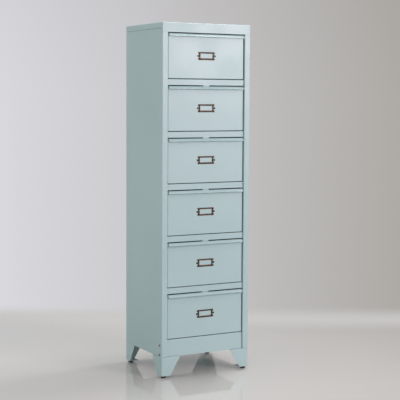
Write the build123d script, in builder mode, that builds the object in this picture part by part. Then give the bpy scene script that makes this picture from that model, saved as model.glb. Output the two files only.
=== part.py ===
"""A tall, narrow sheet-steel drawer cabinet: a folded carcass on four splayed
angle feet, with a column of equal drawers that hang in side channels.

Millimetres. +Z is up and the drawers open towards -Y. The origin lies on the
floor, under the middle of the overall footprint.
"""

import os
from math import sqrt

from build123d import *

# --- Carcass -----------------------------------------------------------------
cabinet_width = 350.0
cabinet_depth = 296.0        # stile faces to the back of the back panel
sheet = 1.0                  # carcass panels
back_sheet = 0.8
outer_bend = 1.9             # outside radius of the carcass folds
turned_edge_radius = 1.5     # outside radius of the panels' turned-in bottom edges
seam_gap = 0.3               # between panels that butt
lid_seam = 1.2               # between the lid's skirt and the panels below it
shoulder_radius = 0.8        # the side panels' upper edge, under that seam
flush_gap = 0.1              # between a panel's end and the sheet it is welded to
punch = 6.0                  # length of a hole's cutter, longer than any sheet is thick

stile_width = 22.0           # front face of each folded side panel
stile_return = 18.0          # the stile's edge, turned back into the cabinet
recess = 5.75                # fronts, rails and plinth lie this far behind the stiles

# --- Heights, from the floor up ------------------------------------------------
pad_height = 7.7
pad_gap = 0.3                # levelling pad to the foot's sole
foot_height = 66.0
plinth_height = 60.5
drawer_count = 6
opening_height = 160.9
rail_height = 21.2
header_height = 33.2         # front skirt of the lid
side_skirt = 20.0            # side and rear skirts of the lid

# --- Lid, plinth, rails, floor ---------------------------------------------------
lid_edge_radius = 2.4
header_wrap = 6.0            # the header turns this far round the corner
joggle_lap = 15.0            # the lid's locating tongue, welded inside each side
plinth_flange = 20.0
floor_flange = 15.0
end_tab_length = 11.0        # rail and plinth ends, turned back on the stile returns
tongue_width = 24.0          # tab in the gap over a drawer
tongue_drop = 3.1
stop_tab_width = 40.0        # out-stop at the back of a rail
stop_drop = 2.8

# --- Drawers ---------------------------------------------------------------------
drawer_sheet = 0.9
fold_radius = 1.2            # inside radius of the folds in a drawer
side_gap = 2.5
gap_above = 3.0
gap_below = 2.2
front_flange = 12.0
lip_proud = 5.5              # the lip's edge stands in front of the stiles
drawer_travel = 230.0
travel_clearance = 0.3
tray_height = 126.0
tray_lift = 4.0              # tray floor above the front's bottom edge
tray_side_gap = 6.0          # tray to the stile returns, for the rims and channels
tray_edge_radius = 1.9       # round the tray floor
rim_width = 5.4              # the rim, turned out to run in the channel
rim_skirt = 9.0              # its edge, turned down
rim_setback = 1.0            # behind the front's flanges
lug_width = 30.0
lug_corner_radius = 3.0
lug_clearance = 1.0          # under the rail

# --- Channels --------------------------------------------------------------------
runner_sheet = 1.2
runner_arm = 5.5
runner_setback = 1.0         # arms start behind the stile return
runner_tab_margin = 4.0
running_gap = 0.3            # rim above the lower arm, tray before the end tab
lift_gap = 0.7               # rim below the upper arm

# --- Label holders ---------------------------------------------------------------
label_width = 66.0
label_height = 27.6
label_depth = 1.7
label_waist_radius = 12.0    # hollow of each end
label_waist_depth = 4.5
label_corner_radius = 1.8
label_edge_radius = 0.5
label_window = (50.0, 17.6)
label_window_raise = 0.5     # the upper bar is narrower than the lower one
card_pocket = (56.0, 22.0, 0.7)
ear_radius = 3.3
ear_reach = 33.2
ear_thickness = 0.8
label_above_middle = 1.0
pin_radius = 1.2
pin_clearance = 0.05
pin_head_radius = 2.3
pin_head_height = 1.3
pin_head_land = 0.2          # straight rim under the domed head
pin_tail = 1.0               # clinched behind the tray's front wall

# --- Feet and levellers ----------------------------------------------------------
foot_sheet = 1.5
foot_bend = 2.2
foot_edge_radius = 2.0       # where the leaves turn in under the cabinet
foot_top_width = 72.0
foot_sole_width = 34.0
foot_flange = 18.0
riser_offset = 8.0           # from the stile face
riser_width = 18.0
riser_height = 60.0
riser_slot_gap = 0.3
pad_inset = 13.0             # pad centre from the cabinet's faces
pad_radius = 8.6
pad_neck_radius = 6.0
pad_base_height = 4.2
pad_edge_radius = 0.8
stud_radius = 4.0
stud_clearance = 0.05
stud_hole_clearance = 0.5    # in the foot's sole
stud_length = 22.0           # above the pad
stud_point = 0.8
nut_across_flats = 13.0
nut_height = 6.5

# --- Screws ----------------------------------------------------------------------
screw_radius = 1.9
screw_hole_clearance = 0.1
screw_head_radius = 3.8
screw_head_height = 1.6
screw_head_taper = 0.9
screw_tail = 4.0             # past the sheets that it joins
foot_screw_heights = (8.0, 41.0)
back_screw_count = 4         # down each side of the back panel
back_screw_margin = 90.0     # first and last, from the panel's ends
wall_hole_radius = 3.25
wall_hole_spacing = 200.0
wall_hole_below_top = 62.0

# --- Planes worked out from the sizes above ----------------------------------------
overall_depth = lip_proud + cabinet_depth + screw_head_height
front_y = -overall_depth / 2 + lip_proud
back_y = front_y + cabinet_depth
flange_y = back_y - back_sheet            # outer face of the side panels' rear flanges
face_y = front_y + recess                 # drawer fronts, rails and plinth
side_x = cabinet_width / 2
return_x = side_x - stile_width           # inner face of the stile returns

floor_z = pad_height + pad_gap + foot_height
plinth_top_z = floor_z + plinth_height
top_z = (plinth_top_z + drawer_count * opening_height
         + (drawer_count - 1) * rail_height + header_height)
header_z = top_z - header_height
skirt_z = top_z - side_skirt
panel_top_z = skirt_z - lid_seam

front_width = 2 * (return_x - side_gap)
tray_width = 2 * (return_x - tray_side_gap)
front_height = opening_height - gap_above - gap_below
arm_start_y = front_y + stile_return + runner_setback
arm_end_y = flange_y - stile_return - runner_setback
tray_front_y = face_y + drawer_sheet
tray_rear_y = arm_end_y - runner_sheet - running_gap
rim_start_y = face_y + front_flange + rim_setback
stop_y = tray_rear_y - drawer_sheet - drawer_travel - travel_clearance
label_offset = opening_height / 2 + label_above_middle
flange_middle_x = (return_x + side_x) / 2
screw_hole = screw_radius + screw_hole_clearance
from_base = (Align.CENTER, Align.CENTER, Align.MIN)


def opening_z(number):
    """Height of the bottom of an opening; opening 1 is the uppermost."""
    below = drawer_count - number
    return plinth_top_z + below * (opening_height + rail_height)


def tray_z(number):
    """Height of the underside of a tray."""
    return opening_z(number) + gap_below + tray_lift


def write(piece, label):
    """Name a finished piece and save it."""
    piece.part.label = label
    export_step(piece.part, f"parts/{label}.step")


def slab(x_range, y_range, z_range, mode=Mode.ADD):
    """A flat stretch of sheet between two corners, inside the open part."""
    middle = [(low + high) / 2 for low, high in (x_range, y_range, z_range)]
    size = [abs(high - low) for low, high in (x_range, y_range, z_range)]
    with Locations(tuple(middle)):
        Box(*size, mode=mode)


def folded_strip(points, bend, thickness, side):
    """The edge-on outline of a folded sheet, inside the open sketch.

    The points run along one face of the sheet; the sheet lies on the given side.
    """
    with BuildLine() as outline:
        FilletPolyline(*points, radius=bend)
        offset(amount=thickness, side=side)
    make_face(outline.edges())


def facing(x, y, z, direction):
    """A plane at a point, looking along a direction."""
    return Plane(origin=(x, y, z), z_dir=direction)


# --- Side panels: folded round the front corner and again round the back --------------
def back_screw_rows():
    """Heights of the screws that hold the back panel."""
    first = floor_z + back_screw_margin
    last = panel_top_z - back_screw_margin
    pitch = (last - first) / (back_screw_count - 1)
    return [first + row * pitch for row in range(back_screw_count)]


def front_riser_y():
    """Middle of a front foot's riser, which stands against the side panel."""
    return front_y + riser_offset + riser_width / 2


def build_side_panel(label, side):
    middle_y = (front_y + flange_y) / 2
    depth = flange_y - front_y
    wall_face = side * (side_x - sheet)
    panel_height = panel_top_z - floor_z
    with BuildPart() as panel:
        # The folded sheet, with its bottom edge turned in.
        with BuildSketch(Plane.XY.offset(floor_z)):
            with Locations((side * flange_middle_x, middle_y)):
                RectangleRounded(stile_width, depth, outer_bend)
        extrude(amount=panel_height)
        fillet(panel.faces().sort_by(Axis.Z)[0].edges(), radius=turned_edge_radius)
        fillet(panel.faces().sort_by(Axis.Z)[-1].edges(), radius=shoulder_radius)
        with BuildSketch(Plane.XY.offset(floor_z + sheet)):
            with Locations((side * flange_middle_x, middle_y)):
                RectangleRounded(stile_width - 2 * sheet, depth - 2 * sheet, outer_bend - sheet)
        extrude(amount=panel_height, mode=Mode.SUBTRACT)
        slab((side * (return_x - sheet), side * (return_x + sheet)),
             (front_y + stile_return, flange_y - stile_return),
             (floor_z, panel_top_z), Mode.SUBTRACT)

        # A slot in the turned edge for each foot's riser.
        slot = riser_width + 2 * riser_slot_gap
        slot_depth = foot_sheet + riser_slot_gap
        slab((side * (side_x - sheet - slot_depth), wall_face),
             (front_riser_y() - slot / 2, front_riser_y() + slot / 2),
             (floor_z, floor_z + sheet), Mode.SUBTRACT)
        slab((side * flange_middle_x - slot / 2, side * flange_middle_x + slot / 2),
             (flange_y - sheet - slot_depth, flange_y - sheet),
             (floor_z, floor_z + sheet), Mode.SUBTRACT)

        # Room for the header and its return at the top of the stile.
        header_room = (header_z - seam_gap, top_z)
        slab((side * (return_x - sheet), side * (side_x + sheet)),
             (front_y - sheet, front_y + header_wrap + seam_gap), header_room, Mode.SUBTRACT)
        slab((side * (return_x - sheet), wall_face),
             (front_y - sheet, stop_y + sheet), header_room, Mode.SUBTRACT)

        # Locating tongue that stands up inside the lid's skirt.
        slab((side * (side_x - 2 * sheet), wall_face),
             (front_y + stile_return, flange_y - stile_return),
             (panel_top_z - joggle_lap, top_z - lid_edge_radius - seam_gap))

        # Clearance holes for the screws of the feet and of the back panel.
        for height in foot_screw_heights:
            with Locations(facing(side * side_x, front_riser_y(), floor_z + height, (side, 0, 0))):
                Cylinder(screw_hole, punch, mode=Mode.SUBTRACT)
        for screw_z in back_screw_rows() + [floor_z + height for height in foot_screw_heights]:
            with Locations(facing(side * flange_middle_x, flange_y, screw_z, (0, 1, 0))):
                Cylinder(screw_hole, punch, mode=Mode.SUBTRACT)
    write(panel, label)


# --- Lid: a drawn pan with a deep front skirt, the header ------------------------------
def build_top_cap():
    middle_y = (front_y + back_y) / 2
    with BuildPart() as cap:
        with BuildSketch(Plane.XY.offset(header_z)):
            with Locations((0, middle_y)):
                RectangleRounded(cabinet_width, cabinet_depth, outer_bend)
        extrude(amount=header_height)
        fillet(cap.faces().sort_by(Axis.Z)[-1].edges(), radius=lid_edge_radius)
        offset(amount=-sheet, openings=cap.faces().sort_by(Axis.Z)[0])

        # The side and rear skirts are shorter than the header.
        slab((-cabinet_width, cabinet_width), (front_y + header_wrap, back_y + sheet),
             (header_z - sheet, skirt_z), Mode.SUBTRACT)

        # The header's lower edge is turned back, and a tab at its rear stops the drawer.
        return_edge = side_x - 2 * sheet - flush_gap
        slab((-return_edge, return_edge), (front_y + sheet, stop_y), (header_z, header_z + sheet))
        slab((-stop_tab_width / 2, stop_tab_width / 2), (stop_y - sheet, stop_y),
             (header_z - stop_drop, header_z))
    write(cap, "top_cap")


# --- Back panel: a flat sheet screwed over the rear flanges ----------------------------
def build_back_panel():
    panel_width = cabinet_width - 2 * outer_bend
    panel_height = panel_top_z - floor_z
    middle_z = floor_z + panel_height / 2
    with BuildPart() as panel:
        with BuildSketch(Plane.XZ.offset(-back_y)):
            with Locations((0, middle_z)):
                Rectangle(panel_width, panel_height)
            with Locations((-wall_hole_spacing / 2, top_z - wall_hole_below_top),
                           (wall_hole_spacing / 2, top_z - wall_hole_below_top)):
                Circle(wall_hole_radius, mode=Mode.SUBTRACT)
            for screw_z in back_screw_rows() + [floor_z + rise for rise in foot_screw_heights]:
                with Locations((-flange_middle_x, screw_z), (flange_middle_x, screw_z)):
                    Circle(screw_hole, mode=Mode.SUBTRACT)
        extrude(amount=back_sheet)
    write(panel, "back_panel")


# --- Floor, plinth and rails between the side panels -----------------------------------
def build_bottom_panel():
    half_width = return_x - flush_gap
    front_edge = face_y + sheet
    with BuildPart() as floor:
        slab((-half_width, half_width), (front_edge, flange_y), (floor_z, floor_z + floor_flange))
        slab((-half_width + sheet, half_width - sheet), (front_edge + sheet, flange_y - sheet),
             (floor_z + sheet, floor_z + floor_flange + sheet), Mode.SUBTRACT)
    write(floor, "bottom_panel")


def turned_back_ends(low_z, high_z):
    """Tabs at both ends of a rail or the plinth, flat on the stile returns."""
    for side in (-1, 1):
        slab((side * (return_x - flush_gap - sheet), side * (return_x - flush_gap)),
             (face_y, face_y + end_tab_length), (low_z, high_z))


def build_plinth():
    half_width = return_x - flush_gap
    with BuildPart() as plinth:
        with BuildSketch(Plane.YZ.offset(-half_width)):
            folded_strip([(face_y, floor_z), (face_y, plinth_top_z),
                          (face_y + plinth_flange, plinth_top_z)], outer_bend, sheet, Side.RIGHT)
        extrude(amount=2 * half_width)
        turned_back_ends(floor_z + floor_flange, plinth_top_z - outer_bend)
    write(plinth, "plinth_panel")


def build_rail(number):
    half_width = return_x - flush_gap
    low_z = opening_z(number) - rail_height
    with BuildPart() as rail:
        with BuildSketch(Plane.YZ.offset(-half_width)):
            folded_strip([(stop_y, low_z), (face_y, low_z), (face_y, low_z + rail_height),
                          (face_y + plinth_flange, low_z + rail_height)],
                         outer_bend, sheet, Side.RIGHT)
        extrude(amount=2 * half_width)
        turned_back_ends(low_z + outer_bend, low_z + rail_height - outer_bend)

        # Tab in the gap over the drawer below, and the out-stop behind it.
        slab((-tongue_width / 2, tongue_width / 2), (face_y, face_y + sheet),
             (low_z - tongue_drop, low_z + outer_bend))
        slab((-stop_tab_width / 2, stop_tab_width / 2), (stop_y - sheet, stop_y),
             (low_z - stop_drop, low_z + sheet))
    write(rail, f"rail_{number}")


# --- Channels that carry the drawers -----------------------------------------------------
def build_runner(number, side):
    rim_top_z = tray_z(number) + tray_height
    low_z = rim_top_z - rim_skirt - running_gap
    high_z = rim_top_z + lift_gap
    web_x = (side * (return_x + sheet), side * (return_x + sheet + runner_sheet))
    arm_x = (side * (return_x + sheet - runner_arm), side * (return_x + sheet))
    with BuildPart() as runner:
        slab(web_x, (front_y + runner_tab_margin, flange_y - runner_tab_margin),
             (low_z - runner_sheet, high_z + runner_sheet))
        for arm_z in (low_z - runner_sheet, high_z):
            slab(arm_x, (arm_start_y, arm_end_y), (arm_z, arm_z + runner_sheet))
        slab(arm_x, (arm_end_y - runner_sheet, arm_end_y), (low_z, high_z))
    side_name = "left" if side < 0 else "right"
    write(runner, f"runner_{side_name}_{number}")


# --- Drawers -------------------------------------------------------------------------------
def build_drawer_front(number):
    low_z = opening_z(number) + gap_below
    high_z = low_z + front_height
    bend = fold_radius + drawer_sheet
    half_width = front_width / 2
    # The sheet's front face runs up to the acute fold, whose crown is at high_z.
    fold_z = high_z - drawer_sheet + sqrt(2) * fold_radius
    edge_y = front_y - lip_proud + drawer_sheet / sqrt(2)
    edge_z = fold_z - (face_y - edge_y)
    flange_end_y = face_y + front_flange
    corner_top_z = fold_z - (1 + sqrt(2)) * fold_radius

    with BuildPart() as front:
        # Bottom flange, face, and the lip folded forwards and down.
        with BuildSketch(Plane.YZ.offset(-half_width + bend)):
            folded_strip([(flange_end_y, low_z), (face_y, low_z), (face_y, fold_z),
                          (edge_y, edge_z)], [bend, fold_radius], drawer_sheet, Side.RIGHT)
        extrude(amount=front_width - 2 * bend)

        # Side flanges, with the bend that runs down each end of the face.
        with BuildSketch(Plane.XY.offset(low_z + bend)):
            for side in (-1, 1):
                folded_strip([(side * (half_width - 2 * bend), face_y),
                              (side * half_width, face_y),
                              (side * half_width, flange_end_y)],
                             bend, drawer_sheet, Side.LEFT if side > 0 else Side.RIGHT)
        extrude(amount=corner_top_z - low_z - bend)

        # Holes for the pins of the label holder.
        for side in (-1, 1):
            with Locations(facing(side * ear_reach, face_y, opening_z(number) + label_offset,
                                  (0, -1, 0))):
                Cylinder(pin_radius + pin_clearance, punch, mode=Mode.SUBTRACT)
    write(front, f"drawer_front_{number}")


def build_drawer_tray(number):
    low_z = tray_z(number)
    rim_z = low_z + tray_height
    bend = fold_radius + drawer_sheet
    pin_z = opening_z(number) + label_offset
    with BuildPart() as tray:
        with BuildSketch(Plane.XY.offset(low_z)):
            with Locations((0, (tray_front_y + tray_rear_y) / 2)):
                RectangleRounded(tray_width, tray_rear_y - tray_front_y, bend)
        extrude(amount=tray_height)
        fillet(tray.faces().sort_by(Axis.Z)[0].edges(), radius=tray_edge_radius)
        offset(amount=-drawer_sheet, openings=tray.faces().sort_by(Axis.Z)[-1])

        # The rim of each side is turned out and down, and runs in its channel.
        with BuildSketch(Plane.XZ.offset(-rim_start_y)):
            for side in (-1, 1):
                rim_x = side * (tray_width / 2 + rim_width)
                folded_strip([(side * (tray_width / 2 - drawer_sheet), rim_z),
                              (rim_x, rim_z), (rim_x, rim_z - rim_skirt)],
                             bend, drawer_sheet, Side.RIGHT if side > 0 else Side.LEFT)
        extrude(amount=rim_start_y - tray_rear_y)

        # The stop lug stands up from the back wall.
        with BuildSketch(Plane.XZ.offset(-tray_rear_y)) as lug:
            lug_top = opening_z(number) + opening_height - lug_clearance
            lug_low = rim_z - rim_skirt
            with Locations((0, (lug_top + lug_low) / 2)):
                Rectangle(lug_width, lug_top - lug_low)
            fillet(lug.vertices().group_by(Axis.Z)[-1], radius=lug_corner_radius)
        extrude(amount=drawer_sheet)

        # Holes for the pins of the label holder.
        for side in (-1, 1):
            with Locations(facing(side * ear_reach, tray_front_y, pin_z, (0, -1, 0))):
                Cylinder(pin_radius + pin_clearance, punch, mode=Mode.SUBTRACT)
    write(tray, f"drawer_tray_{number}")


# --- Label holders: pressed brass frames, pinned to the drawer fronts -------------------------
def build_label_holder(number):
    centre_z = opening_z(number) + label_offset
    face = Plane.XZ.offset(-face_y)
    with BuildPart() as holder:
        with BuildSketch(face) as outline:
            with Locations((0, centre_z)):
                Rectangle(label_width, label_height)
                hollow_x = label_width / 2 + label_waist_radius - label_waist_depth
                with Locations((-hollow_x, 0), (hollow_x, 0)):
                    Circle(label_waist_radius, mode=Mode.SUBTRACT)
            fillet(outline.vertices(), radius=label_corner_radius)
            with Locations((0, centre_z + label_window_raise)):
                Rectangle(*label_window, mode=Mode.SUBTRACT)
        extrude(amount=label_depth)
        fillet(holder.faces().sort_by(Axis.Y)[0].edges(), radius=label_edge_radius)

        # An ear in the hollow of each end, with the pin's hole.
        with BuildSketch(face):
            for side in (-1, 1):
                neck_x = label_width / 2 - 2 * label_waist_depth
                with Locations((side * (ear_reach + neck_x) / 2, centre_z)):
                    Rectangle(ear_reach - neck_x, 2 * ear_radius)
                with Locations((side * ear_reach, centre_z)):
                    Circle(ear_radius)
                    Circle(pin_radius + pin_clearance, mode=Mode.SUBTRACT)
        extrude(amount=ear_thickness)

        # The card slides in from above, behind the frame.
        pocket_width, pocket_height, pocket_depth = card_pocket
        slab((-pocket_width / 2, pocket_width / 2), (face_y - pocket_depth, face_y),
             (centre_z - pocket_height / 2, centre_z + label_height), Mode.SUBTRACT)
    write(holder, f"label_holder_{number}")


def build_label_pins(number):
    centre_z = opening_z(number) + label_offset
    seat_y = face_y - ear_thickness
    shank = ear_thickness + 2 * drawer_sheet + pin_tail
    with BuildPart() as pins:
        for side in (-1, 1):
            with Locations(facing(side * ear_reach, seat_y, centre_z, (0, 1, 0))):
                Cylinder(pin_radius, shank, align=from_base)
            with Locations(facing(side * ear_reach, seat_y, centre_z, (0, -1, 0))):
                Cylinder(pin_head_radius, pin_head_height, align=from_base)
        heads = pins.faces().sort_by(Axis.Y)[:2]
        fillet(heads.edges(), radius=pin_head_height - pin_head_land)
    write(pins, f"label_pins_{number}")


# --- Feet: folded angles with tapered leaves, a sole and a riser -------------------------------
def corner_square(plan, near_x, near_y, far_x, far_y, bend):
    """A square with its near corner rounded, inside the open sketch."""
    with Locations(((near_x + far_x) / 2, (near_y + far_y) / 2)):
        Rectangle(abs(far_x - near_x), abs(far_y - near_y))
    corner = plan.vertices().sort_by_distance((near_x, near_y, 0))[0]
    fillet(corner, radius=bend)


def build_foot(label, side, end):
    """One foot. side is -1 left or 1 right; end is -1 front or 1 rear."""
    corner_x = side * side_x
    corner_y = front_y if end < 0 else flange_y
    sole_z = pad_height + pad_gap
    inner_x = corner_x - side * foot_top_width
    inner_y = corner_y - end * foot_top_width
    sole_x = corner_x - side * foot_sole_width
    sole_y = corner_y - end * foot_sole_width
    flange_low_z = floor_z - foot_sheet
    leaf_x = corner_x - side * foot_sheet
    leaf_y = corner_y - end * foot_sheet

    with BuildPart() as foot:
        # Two leaves on one bend, turned in at the top.
        with BuildSketch(Plane.XY.offset(sole_z)) as outside:
            corner_square(outside, corner_x, corner_y, inner_x, inner_y, foot_bend)
        extrude(amount=foot_height)
        fillet(foot.faces().sort_by(Axis.Z)[-1].edges().filter_by(
            lambda edge: abs(edge.center().X - inner_x) > flush_gap
            and abs(edge.center().Y - inner_y) > flush_gap), radius=foot_edge_radius)
        with BuildSketch(Plane.XY.offset(sole_z)) as inside:
            corner_square(inside, leaf_x, leaf_y, inner_x, inner_y, foot_bend - foot_sheet)
        extrude(amount=foot_height - foot_sheet, mode=Mode.SUBTRACT)

        # All that stays of the top is a flange along each leaf, under the cabinet floor.
        slab((leaf_x - side * foot_flange, inner_x), (leaf_y - end * foot_flange, inner_y),
             (flange_low_z, floor_z), Mode.SUBTRACT)

        # Each leaf is cut to its taper.
        with BuildSketch(Plane.XZ.offset(-corner_y)):
            with BuildLine():
                Polyline((sole_x, sole_z), (inner_x, flange_low_z), (inner_x, sole_z), close=True)
            make_face()
        extrude(amount=2 * foot_sheet, both=True, mode=Mode.SUBTRACT)
        with BuildSketch(Plane.YZ.offset(corner_x)):
            with BuildLine():
                Polyline((sole_y, sole_z), (inner_y, flange_low_z), (inner_y, sole_z), close=True)
            make_face()
        extrude(amount=2 * foot_sheet, both=True, mode=Mode.SUBTRACT)

        # The sole, with the hole for the leveller's stud.
        slab((leaf_x, sole_x), (leaf_y, sole_y), (sole_z, sole_z + foot_sheet))
        with Locations((corner_x - side * pad_inset, corner_y - end * pad_inset, sole_z)):
            Cylinder(stud_radius + stud_hole_clearance, punch, mode=Mode.SUBTRACT)

        # The riser goes up into the cabinet's corner and takes two screws.
        riser_z = (flange_low_z, floor_z + riser_height)
        if end < 0:
            wall_x = side * (side_x - sheet)
            middle = front_riser_y()
            slab((wall_x - side * foot_sheet, wall_x),
                 (middle - riser_width / 2, middle + riser_width / 2), riser_z)
            screw_at = (wall_x, middle)
            screw_direction = (side, 0, 0)
        else:
            wall_y = flange_y - sheet
            middle = side * flange_middle_x
            slab((middle - riser_width / 2, middle + riser_width / 2),
                 (wall_y - foot_sheet, wall_y), riser_z)
            screw_at = (middle, wall_y)
            screw_direction = (0, 1, 0)
        for height in foot_screw_heights:
            with Locations(facing(*screw_at, floor_z + height, screw_direction)):
                Cylinder(screw_hole, punch, mode=Mode.SUBTRACT)
    write(foot, label)


def foot_corners():
    """Name, side and end of each foot."""
    return [("front_left", -1, -1), ("front_right", 1, -1),
            ("back_left", -1, 1), ("back_right", 1, 1)]


def pad_place(side, end):
    """Middle of a levelling pad in plan."""
    corner_y = front_y if end < 0 else flange_y
    return side * (side_x - pad_inset), corner_y - end * pad_inset


def build_foot_nuts():
    nut_z = pad_height + pad_gap + foot_sheet
    with BuildPart() as nuts:
        with BuildSketch(Plane.XY.offset(nut_z)):
            for corner, side, end in foot_corners():
                with Locations(pad_place(side, end)):
                    RegularPolygon(nut_across_flats / 2, 6, major_radius=False)
                    Circle(stud_radius + stud_clearance, mode=Mode.SUBTRACT)
        extrude(amount=nut_height)
    write(nuts, "foot_nuts")


def build_leveller(label, side, end):
    pad_x, pad_y = pad_place(side, end)
    base = Plane(origin=(pad_x, pad_y, 0), x_dir=(1, 0, 0), z_dir=(0, -1, 0))
    stud_top = pad_height + stud_length
    with BuildPart() as leveller:
        with BuildSketch(base):
            with BuildLine():
                Polyline((0, 0), (pad_radius - pad_edge_radius, 0), (pad_radius, pad_edge_radius),
                         (pad_radius, pad_base_height), (pad_neck_radius, pad_base_height + pad_edge_radius),
                         (pad_neck_radius, pad_height), (stud_radius, pad_height),
                         (stud_radius, stud_top - stud_point), (stud_radius - stud_point, stud_top),
                         (0, stud_top), close=True)
            make_face()
        revolve(axis=Axis((pad_x, pad_y, 0), (0, 0, 1)))
    write(leveller, label)


# --- Screws: pan heads outside, shanks through the sheets that they join -------------------------
def pan_screw(x, y, z, outward, joined):
    """One screw, its head seated at the point, inside the open part."""
    inward = tuple(-step for step in outward)
    with Locations(facing(x, y, z, inward)):
        Cylinder(screw_radius, joined + screw_tail, align=from_base)
    with Locations(facing(x, y, z, outward)):
        Cone(screw_head_radius, screw_head_radius - screw_head_taper, screw_head_height, align=from_base)


def build_foot_screws():
    with BuildPart() as screws:
        for side in (-1, 1):
            for height in foot_screw_heights:
                pan_screw(side * side_x, front_riser_y(), floor_z + height,
                          (side, 0, 0), sheet + foot_sheet)
                pan_screw(side * flange_middle_x, back_y, floor_z + height,
                          (0, 1, 0), back_sheet + sheet + foot_sheet)
    write(screws, "foot_screws")


def build_back_screws():
    with BuildPart() as screws:
        for side in (-1, 1):
            for screw_z in back_screw_rows():
                pan_screw(side * flange_middle_x, back_y, screw_z, (0, 1, 0), back_sheet + sheet)
    write(screws, "back_screws")


# --- The whole cabinet ------------------------------------------------------------------------------
os.makedirs("parts", exist_ok=True)

build_side_panel("left_side_panel", -1)
build_side_panel("right_side_panel", 1)
build_top_cap()
build_back_panel()
build_bottom_panel()
build_plinth()
for rail in range(1, drawer_count):
    build_rail(rail)

for drawer in range(1, drawer_count + 1):
    build_runner(drawer, -1)
    build_runner(drawer, 1)
    build_drawer_front(drawer)
    build_drawer_tray(drawer)
    build_label_holder(drawer)
    build_label_pins(drawer)

for corner, side, end in foot_corners():
    build_foot(f"foot_{corner}", side, end)
    build_leveller(f"leveller_{corner}", side, end)
build_foot_nuts()
build_foot_screws()
build_back_screws()
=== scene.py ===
"""Looks of a tall sheet-steel drawer cabinet: six equal drawers on four splayed feet.

Metres, in the row frame: +Z is up, the drawers open towards -Y, and the origin is
on the floor under the middle of the cabinet.
"""

import math

import bmesh
import bpy
from mathutils import Matrix, Vector


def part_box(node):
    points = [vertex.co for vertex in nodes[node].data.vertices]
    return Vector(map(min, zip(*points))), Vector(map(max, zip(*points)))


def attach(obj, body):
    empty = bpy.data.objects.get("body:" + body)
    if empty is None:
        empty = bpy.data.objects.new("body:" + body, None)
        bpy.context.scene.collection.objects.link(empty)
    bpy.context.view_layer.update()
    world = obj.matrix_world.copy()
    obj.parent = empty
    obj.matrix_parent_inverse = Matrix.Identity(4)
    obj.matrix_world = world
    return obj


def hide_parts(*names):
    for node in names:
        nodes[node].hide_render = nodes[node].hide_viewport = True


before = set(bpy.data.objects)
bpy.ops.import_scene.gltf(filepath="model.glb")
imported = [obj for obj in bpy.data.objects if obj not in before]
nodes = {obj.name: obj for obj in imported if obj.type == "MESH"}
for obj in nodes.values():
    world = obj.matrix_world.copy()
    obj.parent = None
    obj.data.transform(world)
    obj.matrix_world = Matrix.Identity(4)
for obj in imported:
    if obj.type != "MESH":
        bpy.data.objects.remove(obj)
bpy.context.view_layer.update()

# --- Camera -----------------------------------------------------------------------
# The view is from the front left with a long lens, level with the fourth drawer from
# the floor. It was worked out from the edges of the cabinet in the picture.
camera_place = Vector((-1.9057, -3.5922, 0.978))
looking_along = Vector((0.47742, 0.87539, -0.07598)).normalized()
picture_down = Vector((-0.03167, -0.06927, -0.99709))
picture_right = picture_down.cross(looking_along).normalized()
picture_up = picture_right.cross(looking_along)

camera_data = bpy.data.cameras.new("camera")
camera_data.lens = 100.82
camera_data.sensor_width = 36.0
camera_data.shift_y = -0.04
camera_data.clip_end = 60.0
camera = bpy.data.objects.new("camera", camera_data)
camera.matrix_world = Matrix((
    (picture_right.x, picture_up.x, -looking_along.x, camera_place.x),
    (picture_right.y, picture_up.y, -looking_along.y, camera_place.y),
    (picture_right.z, picture_up.z, -looking_along.z, camera_place.z),
    (0.0, 0.0, 0.0, 1.0),
))
bpy.context.scene.collection.objects.link(camera)
bpy.context.scene.camera = camera

# --- Feet ---------------------------------------------------------------------------
# Four angles folded from 1.5 mm steel, each with two tapered leaves, a sole and a riser
# that is screwed inside the cabinet. Cut and folded first, then powder coated mint.


def shade_group(name, inputs, outputs):
    """An empty shader group with number inputs (name, value) and named outputs."""
    group = bpy.data.node_groups.new(name, "ShaderNodeTree")
    for label, value in inputs:
        socket = group.interface.new_socket(label, in_out="INPUT", socket_type="NodeSocketFloat")
        socket.default_value = value
    for label, kind in outputs:
        group.interface.new_socket(label, in_out="OUTPUT", socket_type=kind)
    return group, group.nodes.new("NodeGroupInput"), group.nodes.new("NodeGroupOutput")


def noise(tree, place, size, detail=2.0, roughness=0.5):
    """Noise whose lumps are about this size, in metres or from a socket that gives 1 / size."""
    texture = tree.nodes.new("ShaderNodeTexNoise")
    tree.links.new(place, texture.inputs["Vector"])
    if isinstance(size, float):
        texture.inputs["Scale"].default_value = 1.0 / size
    else:
        tree.links.new(size, texture.inputs["Scale"])
    texture.inputs["Detail"].default_value = detail
    texture.inputs["Roughness"].default_value = roughness
    return texture.outputs["Fac"]


def sums(tree, operation, first, second, clamp=False):
    """One Math node on sockets or numbers."""
    node = tree.nodes.new("ShaderNodeMath")
    node.operation = operation
    node.use_clamp = clamp
    for socket, value in zip(node.inputs, (first, second)):
        if isinstance(value, (int, float)):
            socket.default_value = value
        else:
            tree.links.new(value, socket)
    return node.outputs[0]


def ramp(tree, value, low, high, to_low=0.0, to_high=1.0):
    """The value from low to high becomes to_low to to_high, smoothly and clamped."""
    node = tree.nodes.new("ShaderNodeMapRange")
    node.interpolation_type = "SMOOTHSTEP"
    tree.links.new(value, node.inputs["Value"])
    for label, number in (("From Min", low), ("From Max", high), ("To Min", to_low), ("To Max", to_high)):
        node.inputs[label].default_value = number
    return node.outputs["Result"]


def blend_colours(tree, mask, under, over):
    """Mixes two colours, each a socket or a tuple, by a mask."""
    node = tree.nodes.new("ShaderNodeMix")
    node.data_type = "RGBA"
    tree.links.new(mask, node.inputs["Factor"])
    for socket, colour in ((node.inputs["A"], under), (node.inputs["B"], over)):
        if isinstance(colour, tuple):
            socket.default_value = (*colour, 1.0)
        else:
            tree.links.new(colour, socket)
    return node.outputs["Result"]


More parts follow.
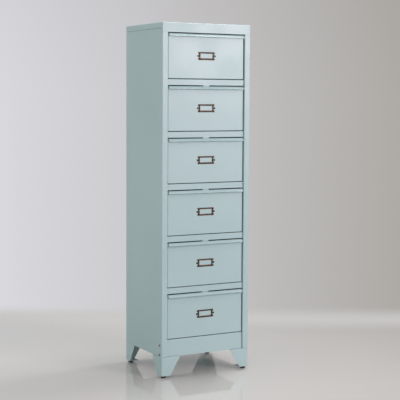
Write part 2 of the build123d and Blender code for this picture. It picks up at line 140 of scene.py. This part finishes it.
# Height of a sprayed and baked coat: orange peel on sheet that is never quite flat.
peel_height = 0.000018
wave_width = 0.17
wave_height = 0.0007
coat_relief, given, out = shade_group(
    "coat_relief", [("Peel Per Metre", 520.0), ("Peel", 1.0), ("Waves", 1.0)],
    [("Height", "NodeSocketFloat")])
where = coat_relief.nodes.new("ShaderNodeTexCoord").outputs["Object"]
peel = sums(coat_relief, "MULTIPLY", noise(coat_relief, where, given.outputs["Peel Per Metre"], 1.0),
            given.outputs["Peel"])
waves = sums(coat_relief, "MULTIPLY", noise(coat_relief, where, wave_width, 1.0), given.outputs["Waves"])
coat_relief.links.new(
    sums(coat_relief, "ADD", sums(coat_relief, "MULTIPLY", peel, peel_height),
         sums(coat_relief, "MULTIPLY", waves, wave_height)), out.inputs["Height"])

# Mask of outer corners and folds, broken up along their length.
edge_patch = 0.012
outer_edge_mask, given, out = shade_group(
    "outer_edge_mask", [("Radius", 0.0012), ("Break Up", 0.5)], [("Mask", "NodeSocketFloat")])
rounded = outer_edge_mask.nodes.new("ShaderNodeBevel")
rounded.samples = 6
outer_edge_mask.links.new(given.outputs["Radius"], rounded.inputs["Radius"])
true_normal = outer_edge_mask.nodes.new("ShaderNodeNewGeometry")
likeness = outer_edge_mask.nodes.new("ShaderNodeVectorMath")
likeness.operation = "DOT_PRODUCT"
outer_edge_mask.links.new(rounded.outputs["Normal"], likeness.inputs[0])
outer_edge_mask.links.new(true_normal.outputs["Normal"], likeness.inputs[1])
corner = ramp(outer_edge_mask, likeness.outputs["Value"], 0.995, 0.90)
where = outer_edge_mask.nodes.new("ShaderNodeTexCoord").outputs["Object"]
patches = ramp(outer_edge_mask, noise(outer_edge_mask, where, edge_patch, 3.0, 0.6), 0.32, 0.62)
patches = sums(outer_edge_mask, "ADD", sums(outer_edge_mask, "MULTIPLY", patches, given.outputs["Break Up"]),
               sums(outer_edge_mask, "SUBTRACT", 1.0, given.outputs["Break Up"]))
outer_edge_mask.links.new(sums(outer_edge_mask, "MULTIPLY", corner, patches, True), out.inputs["Mask"])

# Mask of fine dust: it lies on what faces up and thins out in patches.
dust_speck = 0.0016
dust_drift = 0.06
dust_film, given, out = shade_group("dust_film", [("Amount", 0.5)], [("Mask", "NodeSocketFloat")])
facing = dust_film.nodes.new("ShaderNodeNewGeometry")
parts = dust_film.nodes.new("ShaderNodeSeparateXYZ")
dust_film.links.new(facing.outputs["Normal"], parts.inputs[0])
upward = ramp(dust_film, parts.outputs["Z"], 0.55, 0.98)
where = dust_film.nodes.new("ShaderNodeTexCoord").outputs["Object"]
specks = ramp(dust_film, noise(dust_film, where, dust_speck, 4.0, 0.75), 0.38, 0.72, 0.25, 1.0)
drifts = ramp(dust_film, noise(dust_film, where, dust_drift, 3.0), 0.3, 0.7, 0.4, 1.0)
lying = sums(dust_film, "MULTIPLY", sums(dust_film, "MULTIPLY", upward, specks), drifts)
thinned = sums(dust_film, "MULTIPLY", lying, given.outputs["Amount"], True)
dust_film.links.new(thinned, out.inputs["Mask"])

# Mask of painted shade in seams and folds, where little open space is left round the surface.
seam_shade, given, out = shade_group(
    "seam_shade", [("Reach", 0.006), ("Amount", 0.8)], [("Mask", "NodeSocketFloat")])
open_space = seam_shade.nodes.new("ShaderNodeAmbientOcclusion")
open_space.samples = 8
seam_shade.links.new(given.outputs["Reach"], open_space.inputs["Distance"])
closed = ramp(seam_shade, open_space.outputs["AO"], 0.92, 0.42)
seam_shade.links.new(sums(seam_shade, "MULTIPLY", closed, given.outputs["Amount"], True), out.inputs["Mask"])


def use_group(material, group, **values):
    """Places a shader group in a material with its own values."""
    node = material.node_tree.nodes.new("ShaderNodeGroup")
    node.node_tree = group
    for label, value in values.items():
        node.inputs[label.replace("_", " ")].default_value = value
    return node


def new_material(name):
    """A material with only its Principled shader and output, and both nodes."""
    material = bpy.data.materials.new(name)
    material.use_nodes = True
    shader = material.node_tree.nodes["Principled BSDF"]
    return material, material.node_tree, shader


def bump(tree, shader, height, strength=1.0):
    """Feeds a height in metres to the shader's normal."""
    node = tree.nodes.new("ShaderNodeBump")
    node.inputs["Strength"].default_value = strength
    node.inputs["Distance"].default_value = 1.0
    tree.links.new(height, node.inputs["Height"])
    tree.links.new(node.outputs["Normal"], shader.inputs["Normal"])


def give(material, *names):
    """Puts one material on carried-over pieces of the frame."""
    for name in names:
        for slot in nodes[name].material_slots:
            slot.material = material


mint = (0.398, 0.545, 0.558)
mint_lighter = (0.420, 0.566, 0.579)
mint_thin_coat_and_highlight = (0.520, 0.655, 0.665)
mint_seam_shade = (0.105, 0.150, 0.150)
pale_dust = (0.62, 0.64, 0.62)

mint_coat, tree, shader = new_material("mint_powder_coat")
where = tree.nodes.new("ShaderNodeTexCoord").outputs["Object"]
tone = blend_colours(tree, ramp(tree, noise(tree, where, 0.35, 2.0), 0.3, 0.7), mint, mint_lighter)
edge_mask = use_group(mint_coat, outer_edge_mask, Radius=0.0010, Break_Up=0.6)
dust = use_group(mint_coat, dust_film, Amount=0.22)
painted_seam_shade = use_group(mint_coat, seam_shade, Reach=0.004, Amount=0.6)
# Painted highlight and thinner coat: the outer edges and folds are lightened. This stands partly for thinner
# coat there and partly for the light the folds catch.
tone = blend_colours(tree, edge_mask.outputs["Mask"], tone, mint_thin_coat_and_highlight)
tone = blend_colours(tree, dust.outputs["Mask"], tone, pale_dust)
# Painted shade: seams and folds turn dark mint where little open space is left round them.
tone = blend_colours(tree, painted_seam_shade.outputs["Mask"], tone, mint_seam_shade)
tree.links.new(tone, shader.inputs["Base Color"])
satin = ramp(tree, noise(tree, where, 0.09, 3.0), 0.25, 0.75, 0.34, 0.42)
tree.links.new(sums(tree, "ADD", satin, sums(tree, "MULTIPLY", dust.outputs["Mask"], 0.5)),
               shader.inputs["Roughness"])
relief = use_group(mint_coat, coat_relief, Peel=1.0, Waves=1.0)
bump(tree, shader, relief.outputs["Height"])

give(mint_coat, "foot_front_left", "foot_front_right", "foot_back_left", "foot_back_right")

# --- Levelling feet -------------------------------------------------------------------
# A black moulded pad on a zinc-plated stud, screwed into each sole and locked by a nut.
# The thread is rolled, and the pad's rim is fluted so that fingers can turn it.
pad_black = (0.012, 0.012, 0.013)
zinc_grey = (0.60, 0.61, 0.62)

black_pad, tree, shader = new_material("moulded_black_pad")
where = tree.nodes.new("ShaderNodeTexCoord").outputs["Object"]
scuffs = ramp(tree, noise(tree, where, 0.0021, 4.0, 0.7), 0.5, 0.72)
edge_mask = use_group(black_pad, outer_edge_mask, Radius=0.0007, Break_Up=0.7)
tone = blend_colours(tree, edge_mask.outputs["Mask"], pad_black, (0.060, 0.060, 0.062))
tree.links.new(blend_colours(tree, sums(tree, "MULTIPLY", scuffs, 0.4), tone, (0.045, 0.043, 0.042)),
               shader.inputs["Base Color"])
tree.links.new(ramp(tree, scuffs, 0.0, 1.0, 0.42, 0.62), shader.inputs["Roughness"])
bump(tree, shader, sums(tree, "MULTIPLY", noise(tree, where, 0.0006, 2.0), 0.00002))

zinc_plate, tree, shader = new_material("zinc_plate")
where = tree.nodes.new("ShaderNodeTexCoord").outputs["Object"]
spangle = ramp(tree, noise(tree, where, 0.004, 3.0, 0.65), 0.3, 0.7)
edge_mask = use_group(zinc_plate, outer_edge_mask, Radius=0.0006, Break_Up=0.4)
tone = blend_colours(tree, spangle, (0.50, 0.515, 0.53), zinc_grey)
tree.links.new(blend_colours(tree, edge_mask.outputs["Mask"], tone, (0.78, 0.78, 0.77)),
               shader.inputs["Base Color"])
shader.inputs["Metallic"].default_value = 1.0
tree.links.new(ramp(tree, spangle, 0.0, 1.0, 0.28, 0.42), shader.inputs["Roughness"])
bump(tree, shader, sums(tree, "MULTIPLY", noise(tree, where, 0.0009, 2.0), 0.000012))


def turned(rings, around, radius_at):
    """Vertices and faces of a turned piece: rings are (radius, z), closed at both ends."""
    points = []
    for radius, z in rings:
        for step in range(around):
            turn = 2 * math.pi * step / around
            r = radius_at(radius, z, turn)
            points.append((r * math.cos(turn), r * math.sin(turn), z))
    faces = []
    for ring in range(len(rings) - 1):
        for step in range(around):
            after = (step + 1) % around
            faces.append((ring * around + step, ring * around + after,
                          (ring + 1) * around + after, (ring + 1) * around + step))
    faces.append(tuple(reversed(range(around))))
    faces.append(tuple(range(len(points) - around, len(points))))
    return points, faces


def smooth_piece(name, mesh, angle=35.0):
    """Links an object for the mesh, shaded smooth except over sharp edges."""
    mesh.shade_smooth()
    mesh.set_sharp_from_angle(angle=math.radians(angle))
    piece = bpy.data.objects.new(name, mesh)
    bpy.context.scene.collection.objects.link(piece)
    return piece


def threaded(low, high, crest, root, pitch, per_pitch=8):
    """Rings up a thread, with pointed ends, and the radius of its helix at a turn."""
    count = int(round((high - low) / pitch * per_pitch))
    rings = [(crest, low + (high - low) * n / count) for n in range(count + 1)]

    def radius_at(radius, z, turn):
        phase = ((z - low) / pitch - turn / (2 * math.pi)) % 1.0
        depth = abs(2 * phase - 1)
        run_out = min(1.0, (z - low) / pitch, (high - z) / pitch)
        return root + (crest - root) * min(1.0, 1.35 * depth) * max(run_out, 0.0)

    return rings, radius_at


pad_radius = 0.0086
pad_height = 0.0077
pad_around = 90
flutes = 18
flute_depth = 0.00045
flute_low = 0.0007
flute_high = 0.0043
stud_crest = 0.0040
stud_root = 0.0034
stud_pitch = 0.00125
stud_top = 0.0297
stud_sunk = 0.0004
stud_around = 28


def pad_rim(radius, z, turn):
    """The pad's rim is fluted between its two chamfers."""
    if radius < pad_radius - 0.0002 or not flute_low < z < flute_high:
        return radius
    return radius - flute_depth * max(0.0, math.cos(flutes * turn)) ** 2


# Radius and height up the pad: a rounded base, a straight rim, a shoulder and a neck.
pad_profile = [(0.0010, 0.0), (0.0060, 0.0), (0.0074, 0.0001), (0.0082, 0.0004), (0.0086, 0.0009),
               (0.0086, 0.0016), (0.0086, 0.0028), (0.0086, 0.0038), (0.0084, 0.0043), (0.0078, 0.0047),
               (0.0066, 0.0049), (0.0061, 0.0053), (0.0060, 0.0062), (0.0060, 0.0073), (0.0057, 0.0077),
               (0.0042, 0.0077), (0.0010, 0.0077)]

for corner in ("front_left", "front_right", "back_left", "back_right"):
    low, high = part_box(f"leveller_{corner}")
    middle = (low + high) / 2
    pad_points, pad_faces = turned(pad_profile, pad_around, pad_rim)
    rings, thread_radius = threaded(pad_height - stud_sunk, stud_top, stud_crest, stud_root, stud_pitch)
    stud_points, stud_faces = turned(rings, stud_around, thread_radius)
    first = len(pad_points)
    mesh = bpy.data.meshes.new(f"leveller_{corner}_look")
    mesh.from_pydata(pad_points + stud_points, [],
                     pad_faces + [tuple(first + index for index in face) for face in stud_faces])
    mesh.transform(Matrix.Translation((middle.x, middle.y, 0.0)))
    mesh.materials.append(black_pad)
    mesh.materials.append(zinc_plate)
    for face in mesh.polygons[len(pad_faces):]:
        face.material_index = 1
    piece = smooth_piece(f"leveller_{corner}_look", mesh)
    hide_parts(f"leveller_{corner}")
    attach(piece, f"leveller_{corner}")

give(zinc_plate, "foot_nuts")

# --- Carcass ----------------------------------------------------------------------------
# Two side panels folded round the front and back corners, a lid, a floor pan and a plinth
# in 1 mm sheet, spot welded, and a flat 0.8 mm back that is screwed on. All are coated.
give(mint_coat, "left_side_panel", "right_side_panel", "top_cap", "back_panel", "bottom_panel",
     "plinth_panel")

# --- Rails and channels -------------------------------------------------------------------
# Five folded rails tie the side panels together between the drawers. The drawers hang in
# channels that are welded inside the side panels and coated with them.
give(mint_coat, *[f"rail_{number}" for number in range(1, 6)])
give(mint_coat, *[f"runner_{side}_{number}" for side in ("left", "right") for number in range(1, 7)])

# --- Screws ---------------------------------------------------------------------------------
# Pan-head sheet screws with a cross recess, in darkened steel. Four down each edge hold
# the back, and two at each corner go through the panels into the risers of the feet.
screw_dark = (0.115, 0.125, 0.125)

dark_steel, tree, shader = new_material("darkened_screw_steel")
where = tree.nodes.new("ShaderNodeTexCoord").outputs["Object"]
mottle = ramp(tree, noise(tree, where, 0.0011, 3.0, 0.6), 0.3, 0.7)
edge_mask = use_group(dark_steel, outer_edge_mask, Radius=0.0004, Break_Up=0.4)
tone = blend_colours(tree, mottle, (0.085, 0.095, 0.095), screw_dark)
tree.links.new(blend_colours(tree, edge_mask.outputs["Mask"], tone, (0.34, 0.34, 0.33)),
               shader.inputs["Base Color"])
shader.inputs["Metallic"].default_value = 1.0
tree.links.new(ramp(tree, mottle, 0.0, 1.0, 0.34, 0.52), shader.inputs["Roughness"])
bump(tree, shader, sums(tree, "MULTIPLY", noise(tree, where, 0.0004, 2.0), 0.000010))

head_radius = 0.0038
head_height = 0.0016
shank_radius = 0.0019
shank_root = 0.00145
shank_pitch = 0.0010
screw_around = 32
recess_arm = 0.0021
recess_width = 0.00048
recess_depth = 0.0010
recess_taper = 0.35


def screw_mesh(length):
    """One screw along -Z from its seat at z = 0, with its head above."""
    rings, radius_at = threaded(-length, 0.0, shank_radius, shank_root, shank_pitch, 6)
    head = [(head_radius, 0.0), (head_radius, 0.00045), (0.00365, 0.0009), (0.0032, 0.0013),
            (0.0026, 0.00150), (0.0016, head_height), (0.0004, head_height)]
    points, faces = turned(rings + head, screw_around,
                           lambda r, z, turn: radius_at(r, z, turn) if z < -1e-6 else r)
    body = bpy.data.meshes.new("screw_blank")
    body.from_pydata(points, [], faces)

    # The recess is a cross that narrows with depth, cut from the head.
    cutter = bmesh.new()
    for long_x in (True, False):
        corners = []
        for z, share in ((head_height + 0.0004, 1.0), (head_height - recess_depth, recess_taper)):
            x, y = (recess_arm * share, recess_width * (0.6 + 0.4 * share))
            if not long_x:
                x, y = y, x
            corners += [cutter.verts.new((sx * x, sy * y, z))
                        for sx, sy in ((-1, -1), (1, -1), (1, 1), (-1, 1))]
        cutter.faces.new(reversed(corners[:4]))
        cutter.faces.new(corners[4:])
        for n in range(4):
            m = (n + 1) % 4
            cutter.faces.new((corners[n], corners[m], corners[m + 4], corners[n + 4]))
    bmesh.ops.recalc_face_normals(cutter, faces=cutter.faces)
    cross = bpy.data.meshes.new("screw_cross")
    cutter.to_mesh(cross)
    cutter.free()

    blank = bpy.data.objects.new("screw_blank", body)
    tool = bpy.data.objects.new("screw_cross", cross)
    for item in (blank, tool):
        bpy.context.scene.collection.objects.link(item)
    cut = blank.modifiers.new("recess", "BOOLEAN")
    cut.object = tool
    cut.operation = "DIFFERENCE"
    cut.solver = "EXACT"
    cut.use_self = True
    bpy.context.view_layer.update()
    finished = bpy.data.meshes.new_from_object(blank.evaluated_get(bpy.context.evaluated_depsgraph_get()))
    for item in (blank, tool):
        bpy.data.objects.remove(item)
    return finished


first_twist = 11
twist_step = 37


def set_screws(name, node, places, length):
    """Copies of one screw at (point, outward direction), joined to stand for a node."""
    joined = bmesh.new()
    pattern = screw_mesh(length)
    for number, (point, outward) in enumerate(places):
        twist = Matrix.Rotation(math.radians(twist_step * number + first_twist), 4, "Z")
        aim = Vector(outward).to_track_quat("Z", "Y").to_matrix().to_4x4()
        copy = pattern.copy()
        copy.transform(Matrix.Translation(point) @ aim @ twist)
        joined.from_mesh(copy)
        bpy.data.meshes.remove(copy)
    mesh = bpy.data.meshes.new(name)
    joined.to_mesh(mesh)
    joined.free()
    mesh.materials.clear()
    mesh.materials.append(dark_steel)
    piece = smooth_piece(name, mesh, 40.0)
    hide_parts(node)
    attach(piece, "cabinet")


foot_screw_length = 0.0065
back_screw_length = 0.0058
back_rows = 4
side_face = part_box("right_side_panel")[1].x
back_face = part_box("back_panel")[1].y
foot_low, foot_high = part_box("foot_screws")
riser_middle_y = foot_low.y + head_radius
foot_screw_z = (foot_low.z + head_radius, foot_high.z - head_radius)
back_low, back_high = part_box("back_screws")
flange_middle_x = back_high.x - head_radius
row_low, row_high = back_low.z + head_radius, back_high.z - head_radius
back_screw_z = [row_low + row * (row_high - row_low) / (back_rows - 1) for row in range(back_rows)]
corner_places = []
for side in (-1, 1):
    for height in foot_screw_z:
        corner_places.append(((side * side_face, riser_middle_y, height), (side, 0, 0)))
        corner_places.append(((side * flange_middle_x, back_face, height), (0, 1, 0)))
set_screws("foot_screws_look", "foot_screws", corner_places, foot_screw_length)
set_screws("back_screws_look", "back_screws",
           [((side * flange_middle_x, back_face, height), (0, 1, 0))
            for side in (-1, 1) for height in back_screw_z], back_screw_length)

# --- Drawers ----------------------------------------------------------------------------------
# Each front is one 0.9 mm sheet whose top edge is folded forwards and down into a lip for
# the fingers. A drawn tray is welded behind it; both are coated mint, inside and out.
give(mint_coat, *[f"drawer_{part}_{number}" for part in ("front", "tray") for number in range(1, 7)])

# --- Label holders -------------------------------------------------------------------------------
# Pressed brass card frames, darkened to brown and rubbed bright on their high edges. Two
# dome-headed pins go through the ears and are clinched behind the drawer's front.
brass_brown = (0.105, 0.066, 0.044)
brass_dark = (0.040, 0.028, 0.022)
brass_bright = (0.55, 0.42, 0.30)

aged_brass, tree, shader = new_material("aged_brass")
where = tree.nodes.new("ShaderNodeTexCoord").outputs["Object"]
tarnish = ramp(tree, noise(tree, where, 0.0045, 4.0, 0.65), 0.32, 0.68)
edge_mask = use_group(aged_brass, outer_edge_mask, Radius=0.0008, Break_Up=0.45)
tone = blend_colours(tree, tarnish, brass_dark, brass_brown)
tree.links.new(blend_colours(tree, edge_mask.outputs["Mask"], tone, brass_bright), shader.inputs["Base Color"])
shader.inputs["Metallic"].default_value = 1.0
tree.links.new(ramp(tree, tarnish, 0.0, 1.0, 0.52, 0.36), shader.inputs["Roughness"])
bump(tree, shader, sums(tree, "MULTIPLY", noise(tree, where, 0.0011, 3.0), 0.00003))
give(aged_brass, *[f"label_pins_{number}" for number in range(1, 7)])

frame_half_width = 0.033
frame_half_height = 0.0138
waist_radius = 0.012
waist_middle = 0.0405
corner_round = 0.0016
window_half = (0.0243, 0.0084)
window_round = 0.0006
window_raise = 0.0005
ridge_height = 0.0017
frame_around = 96
ear_middle = 0.0332
ear_radius = 0.0037
ear_rise = 0.0008
ear_stretch = 1.35
ear_around = 40
pin_hole = 0.00125


def frame_outline():
    """Outer edge of the frame, anticlockwise: its ends are hollowed, its corners rounded."""
    waist_top = math.sqrt(waist_radius ** 2 - (waist_middle - frame_half_width) ** 2)
    quarter = []
    for step in range(9):
        height = waist_top * step / 8
        quarter.append((waist_middle - math.sqrt(waist_radius ** 2 - height ** 2), height))
    for step in range(7):
        turn = math.pi / 2 * step / 6
        quarter.append((frame_half_width - corner_round * (1 - math.cos(turn)),
                        frame_half_height - corner_round * (1 - math.sin(turn))))
    left = [(-x, z) for x, z in reversed(quarter)]
    upper = quarter + left
    return upper + [(x, -z) for x, z in reversed(upper)][1:-1]


def window_outline():
    """Edge of the window, with tight round corners."""
    width, height = window_half
    quarter = []
    for step in range(5):
        turn = math.pi / 2 * step / 4
        quarter.append((width - window_round * (1 - math.cos(turn)),
                        height - window_round * (1 - math.sin(turn))))
    upper = quarter + [(-x, z) for x, z in reversed(quarter)]
    return [(x, z + window_raise) for x, z in upper + [(x, -z) for x, z in reversed(upper)]]


def reach(outline, turn):
    """Where a ray from the middle at this turn meets an outline."""
    ray = Vector((math.cos(turn), math.sin(turn)))
    farthest = None
    for start, end in zip(outline, outline[1:] + outline[:1]):
        start, edge = Vector(start), Vector(end) - Vector(start)
        across = ray.x * edge.y - ray.y * edge.x
        if abs(across) < 1e-12:
            continue
        distance = (start.x * edge.y - start.y * edge.x) / across
        share = (start.x * ray.y - start.y * ray.x) / across
        if distance > 0 and -1e-6 <= share <= 1 + 1e-6 and (farthest is None or distance > farthest):
            farthest = distance
    return ray * farthest


def pressed_frame():
    """The frame's front, a ridge that rises and falls across each bar, with its two ears."""
    outer, inner = frame_outline(), window_outline()
    turns = {round(math.atan2(z, x) % (2 * math.pi), 6) for x, z in outer + inner}
    turns |= {round(2 * math.pi * step / frame_around, 6) for step in range(frame_around)}
    turns = sorted(turns)
    # Share of the way from the outer to the inner edge, and of the ridge's height there.
    across = [(0.0, 0.0), (0.0, 0.35), (0.05, 0.55), (0.16, 0.76), (0.30, 0.92), (0.46, 1.0),
              (0.62, 0.97), (0.78, 0.86), (0.91, 0.68), (0.985, 0.50), (1.0, 0.30), (1.0, 0.0)]
    loops = []
    for share, rise in across:
        loop = []
        for turn in turns:
            point = reach(outer, turn).lerp(reach(inner, turn), share)
            loop.append((point.x, -ridge_height * rise, point.y))
        loops.append(loop)
    count = len(turns)
    points = [point for loop in loops for point in loop]
    faces = []
    for ring in range(len(loops)):
        following = (ring + 1) % len(loops)
        for step in range(count):
            after = (step + 1) % count
            faces.append((ring * count + step, following * count + step,
                          following * count + after, ring * count + after))

    # Each ear is a rounded tab with the pin's hole, drawn into the hollow of its end.
    ear_rings = [(pin_hole, 0.0), (pin_hole, ear_rise), (0.0027, ear_rise), (0.00312, 0.0007),
                 (ear_radius, 0.0004), (ear_radius, 0.0)]
    for side in (-1, 1):
        first = len(points)
        for radius, rise in ear_rings:
            for step in range(ear_around):
                turn = 2 * math.pi * step / ear_around
                x = radius * math.cos(turn)
                if radius > pin_hole and side * x < 0:
                    x *= ear_stretch
                points.append((side * ear_middle + x, -rise, radius * math.sin(turn)))
        for ring in range(len(ear_rings)):
            following = (ring + 1) % len(ear_rings)
            for step in range(ear_around):
                after = (step + 1) % ear_around
                here, beyond = first + ring * ear_around, first + following * ear_around
                faces.append((here + step, here + after, beyond + after, beyond + step))
    mesh = bpy.data.meshes.new("pressed_label_frame")
    mesh.from_pydata(points, [], faces)
    shape = bmesh.new()
    shape.from_mesh(mesh)
    bmesh.ops.recalc_face_normals(shape, faces=shape.faces)
    shape.to_mesh(mesh)
    shape.free()
    mesh.materials.append(aged_brass)
    return mesh


frame_pattern = pressed_frame()
for number in range(1, 7):
    low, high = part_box(f"label_holder_{number}")
    mesh = frame_pattern.copy()
    mesh.transform(Matrix.Translation((0.0, high.y, (low.z + high.z) / 2)))
    piece = smooth_piece(f"label_frame_{number}", mesh, 50.0)
    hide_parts(f"label_holder_{number}")
    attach(piece, f"drawer_{number}")

# --- Floor and backdrop ----------------------------------------------------------------------------
# A pale polished floor that mirrors a little, and a wall close behind the cabinet that glows instead of
# being lit. Its painted light is brighter and cooler towards the left and a little dimmer higher up.
floor_grey = (0.525, 0.516, 0.498)
wall_glow_left = (0.700, 0.694, 0.735)
wall_glow_right = (0.410, 0.395, 0.365)
wall_distance = 4.95
wall_height = 5.0
half_wall = 7.0
half_fade = 0.95             # the wall goes from one colour to the other over twice this width
soft_foot = 0.06             # the wall fades into the floor over this height
half_floor = 14.0

floor_mesh = bpy.data.meshes.new("studio_floor")
floor_mesh.from_pydata([(-half_floor, -half_floor, 0.0), (half_floor, -half_floor, 0.0),
                        (half_floor, half_floor, 0.0), (-half_floor, half_floor, 0.0)], [], [(0, 1, 2, 3)])
floor = bpy.data.objects.new("studio_floor", floor_mesh)
bpy.context.scene.collection.objects.link(floor)
floor_finish, tree, shader = new_material("polished_floor")
where = tree.nodes.new("ShaderNodeTexCoord").outputs["Object"]
tree.links.new(blend_colours(tree, ramp(tree, noise(tree, where, 0.9, 2.0), 0.3, 0.7), floor_grey,
                             (0.540, 0.531, 0.513)), shader.inputs["Base Color"])
tree.links.new(ramp(tree, noise(tree, where, 0.25, 3.0), 0.3, 0.7, 0.035, 0.06), shader.inputs["Roughness"])
bump(tree, shader, sums(tree, "MULTIPLY", noise(tree, where, 0.35, 1.0), 0.00030))
floor_mesh.materials.append(floor_finish)

level_ahead = Vector((looking_along.x, looking_along.y, 0.0)).normalized()
level_right = Vector((level_ahead.y, -level_ahead.x, 0.0))
wall_foot = Vector((camera_place.x, camera_place.y, 0.0)) + wall_distance * level_ahead
wall_mesh = bpy.data.meshes.new("studio_wall")
wall_mesh.from_pydata([(-half_wall, 0.0, 0.0), (half_wall, 0.0, 0.0),
                       (half_wall, 0.0, wall_height), (-half_wall, 0.0, wall_height)], [], [(0, 1, 2, 3)])
wall = bpy.data.objects.new("studio_wall", wall_mesh)
wall.matrix_world = Matrix((
    (level_right.x, level_ahead.x, 0.0, wall_foot.x),
    (level_right.y, level_ahead.y, 0.0, wall_foot.y),
    (0.0, 0.0, 1.0, 0.0),
    (0.0, 0.0, 0.0, 1.0),
))
bpy.context.scene.collection.objects.link(wall)

wall_finish = bpy.data.materials.new("glowing_wall")
wall_finish.use_nodes = True
tree = wall_finish.node_tree
tree.nodes.remove(tree.nodes["Principled BSDF"])
along = tree.nodes.new("ShaderNodeSeparateXYZ")
tree.links.new(tree.nodes.new("ShaderNodeTexCoord").outputs["Object"], along.inputs[0])
across = tree.nodes.new("ShaderNodeMapRange")
tree.links.new(along.outputs["X"], across.inputs["Value"])
across.inputs["From Min"].default_value = -half_fade
across.inputs["From Max"].default_value = half_fade
glow = tree.nodes.new("ShaderNodeEmission")
# Painted light: the glow runs from bright and cool at the left to dim and warm at the right, and dims
# slightly higher up.
tree.links.new(blend_colours(tree, across.outputs["Result"], wall_glow_left, wall_glow_right), glow.inputs["Color"])
tree.links.new(ramp(tree, along.outputs["Z"], 0.9, 1.7, 1.0, 0.93), glow.inputs["Strength"])
seen_by = tree.nodes.new("ShaderNodeLightPath")
facing_back = tree.nodes.new("ShaderNodeNewGeometry").outputs["Backfacing"]
seen = sums(tree, "MAXIMUM", seen_by.outputs["Is Camera Ray"], seen_by.outputs["Is Glossy Ray"])
seen = sums(tree, "MAXIMUM", seen, seen_by.outputs["Is Transmission Ray"])
seen = sums(tree, "MULTIPLY", seen, sums(tree, "SUBTRACT", 1.0, facing_back))
seen = sums(tree, "MULTIPLY", seen, ramp(tree, along.outputs["Z"], 0.0, soft_foot))
open_or_seen = tree.nodes.new("ShaderNodeMixShader")
tree.links.new(seen, open_or_seen.inputs[0])
tree.links.new(tree.nodes.new("ShaderNodeBsdfTransparent").outputs[0], open_or_seen.inputs[1])
tree.links.new(glow.outputs[0], open_or_seen.inputs[2])
tree.links.new(open_or_seen.outputs[0], tree.nodes["Material Output"].inputs["Surface"])
wall_mesh.materials.append(wall_finish)

# --- Light --------------------------------------------------------------------------------------------
# A softbox at the front right, level with the upper drawers, a weak one at the left, a
# small one high at the right that catches the drawers' lips, and an even studio glow.
world = bpy.data.worlds.new("studio")
world.use_nodes = True
bpy.context.scene.world = world
tree = world.node_tree
background = tree.nodes["Background"]
seen_by = tree.nodes.new("ShaderNodeLightPath")
shown = tree.nodes.new("ShaderNodeMix")
shown.data_type = "RGBA"
tree.links.new(seen_by.outputs["Is Camera Ray"], shown.inputs["Factor"])
shown.inputs["A"].default_value = (0.74, 0.74, 0.74, 1.0)
shown.inputs["B"].default_value = (0.56, 0.55, 0.54, 1.0)
tree.links.new(shown.outputs["Result"], background.inputs["Color"])
background.inputs["Strength"].default_value = 1.0


def softbox(name, place, aim, size, watts, colour, beam=180.0):
    """A square lamp that points at a spot and isn't seen itself; its beam is in degrees."""
    lamp = bpy.data.lights.new(name, "AREA")
    lamp.shape = "RECTANGLE"
    lamp.size, lamp.size_y = size
    lamp.energy = watts
    lamp.color = colour
    lamp.spread = math.radians(beam)
    holder = bpy.data.objects.new(name, lamp)
    direction = Vector(aim) - Vector(place)
    facing = direction.to_track_quat("-Z", "Y").to_matrix().to_4x4()
    holder.matrix_world = Matrix.Translation(place) @ facing
    holder.visible_camera = False
    bpy.context.scene.collection.objects.link(holder)


softbox("key_softbox", (1.48, -2.80, 1.50), (0.0, -0.1, 1.05), (0.9, 0.9), 37.0, (1.18, 1.0, 1.06))
softbox("left_softbox", (-2.7, 0.5, 1.9), (-0.1, 0.0, 0.9), (1.4, 1.4), 5.0, (1.0, 1.0, 0.82))
softbox("overhead_softbox", (0.85, 0.10, 2.80), (-0.1, -0.15, 1.15), (0.6, 0.6), 7.0, (1.0, 1.0, 1.0), 80.0)
bpy.data.objects["left_softbox"].visible_glossy = False

bpy.context.scene.view_settings.view_transform = "Standard"
